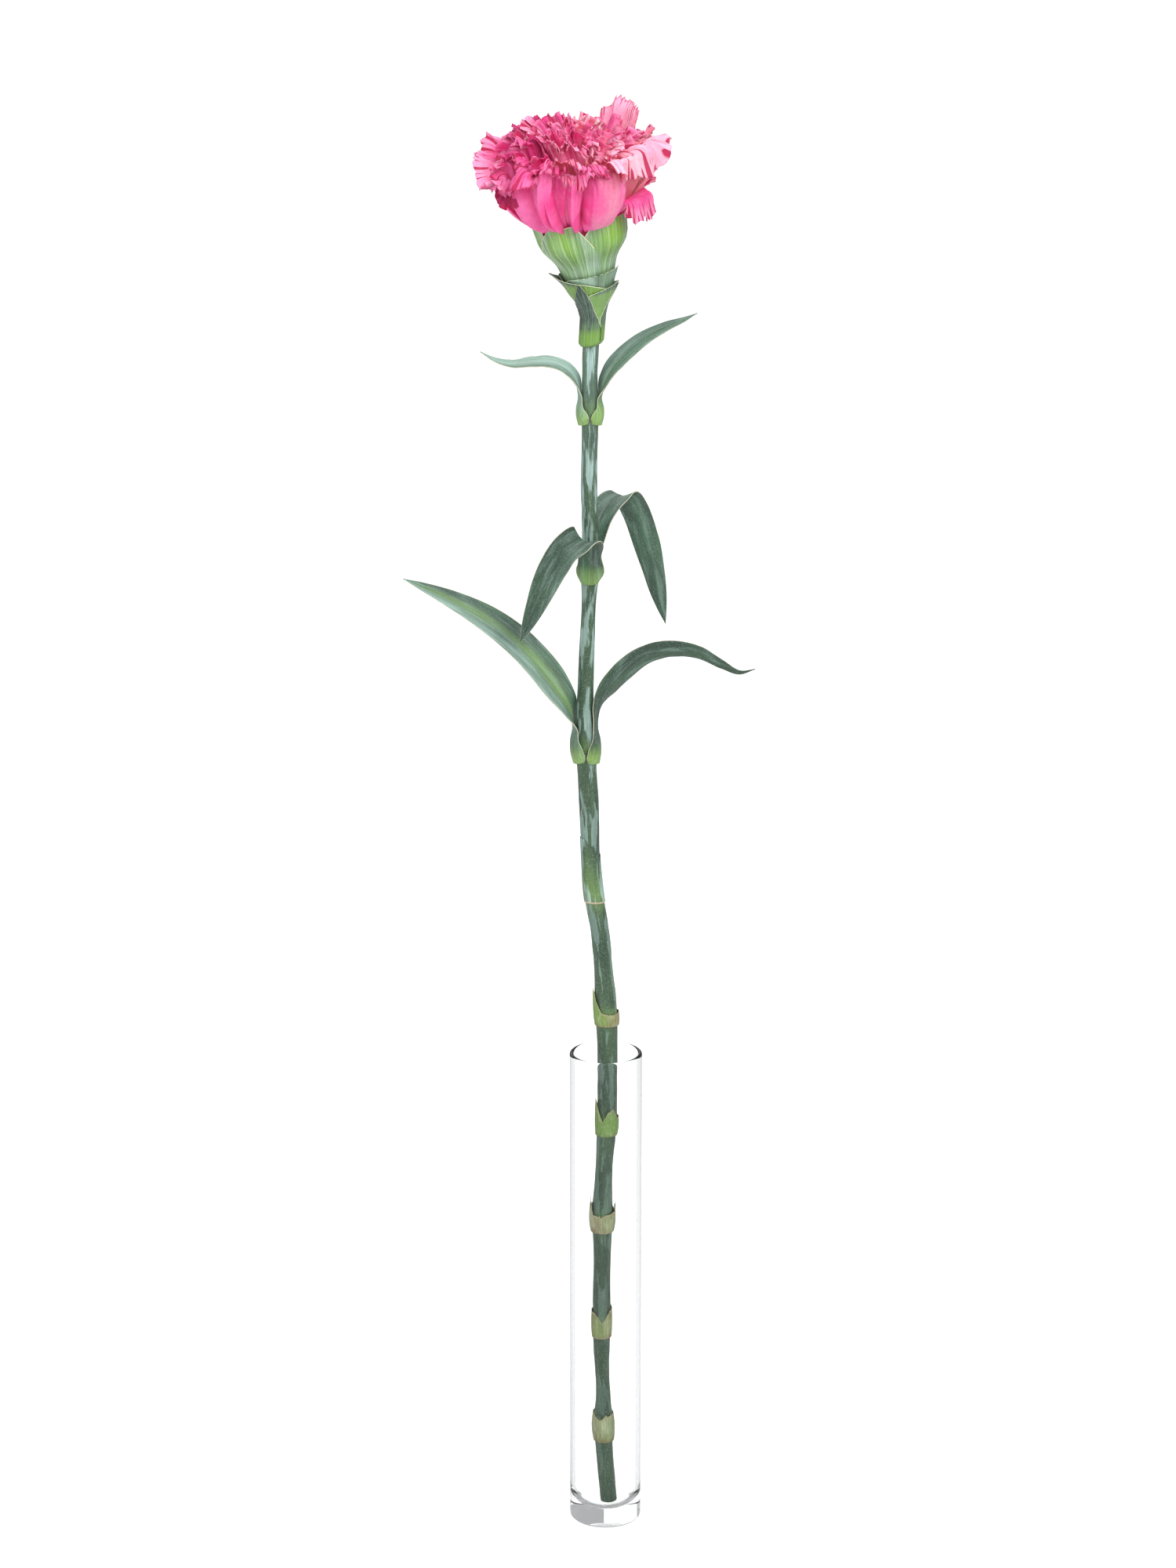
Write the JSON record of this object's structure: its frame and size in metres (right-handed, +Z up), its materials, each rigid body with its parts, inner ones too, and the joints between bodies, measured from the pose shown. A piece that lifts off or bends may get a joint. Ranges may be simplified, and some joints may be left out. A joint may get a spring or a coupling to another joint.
{
  "type": "cut carnation",
  "caption": "Cut carnation with a ruffled pink head and narrow waxy leaves, standing in a slim clear glass cylinder vase.",
  "frame": {"origin": "centre of the vase's flat foot, on the surface it stands on", "axes": "+Z up along the vase, +X to the right of the front view, -Y to the front"},
  "size_m": [0.1214, 0.0598, 0.5149],
  "materials": {
    "glass": "clear, fire-polished rim",
    "stem": "fresh plant stem, waxy blue-green bloom over green",
    "dry_sheath": "torn leaf sheath, pale yellow-green going brown",
    "leaf": "waxy grey-green blade with fine lengthwise veins",
    "bract": "waxy green scale with a pale margin",
    "calyx": "yellow-green, pale lengthwise veins",
    "petal": "velvety pink with crimson streaks and toothed margins",
    "pistil": "pale green-cream"
  },
  "bodies": {
    "root": {"glass_vase": "glass", "stem": "stem", "leaf_scar_1": "dry_sheath", "leaf_scar_2": "dry_sheath", "leaf_scar_3": "dry_sheath", "leaf_scar_4": "dry_sheath", "leaf_scar_5": "dry_sheath", "leaf_scar_6": "dry_sheath", "leaf_upper_left": "leaf", "leaf_upper_right": "leaf", "leaf_middle_left": "leaf", "leaf_middle_right": "leaf", "leaf_lower_left": "leaf", "leaf_lower_right": "leaf", "bract_upper_front": "bract", "bract_upper_back": "bract", "bract_middle_left": "bract", "bract_middle_right": "bract", "bract_lower_front": "bract", "bract_lower_back": "bract", "calyx": "calyx", "pistil": "pistil", "petal_guard_1": "petal", "petal_guard_2": "petal", "petal_guard_3": "petal", "petal_guard_4": "petal", "petal_guard_5": "petal", "petal_guard_6": "petal", "petal_guard_7": "petal", "petal_guard_8": "petal", "petal_second_1": "petal", "petal_second_2": "petal", "petal_second_3": "petal", "petal_second_4": "petal", "petal_second_5": "petal", "petal_second_6": "petal", "petal_second_7": "petal", "petal_second_8": "petal", "petal_third_1": "petal", "petal_third_2": "petal", "petal_third_3": "petal", "petal_third_4": "petal", "petal_third_5": "petal", "petal_third_6": "petal", "petal_third_7": "petal", "petal_fourth_1": "petal", "petal_fourth_2": "petal", "petal_fourth_3": "petal", "petal_fourth_4": "petal", "petal_fourth_5": "petal", "petal_fourth_6": "petal", "petal_fifth_1": "petal", "petal_fifth_2": "petal", "petal_fifth_3": "petal", "petal_fifth_4": "petal", "petal_fifth_5": "petal", "petal_heart_1": "petal", "petal_heart_2": "petal", "petal_heart_3": "petal"}
  },
  "joints": []
}
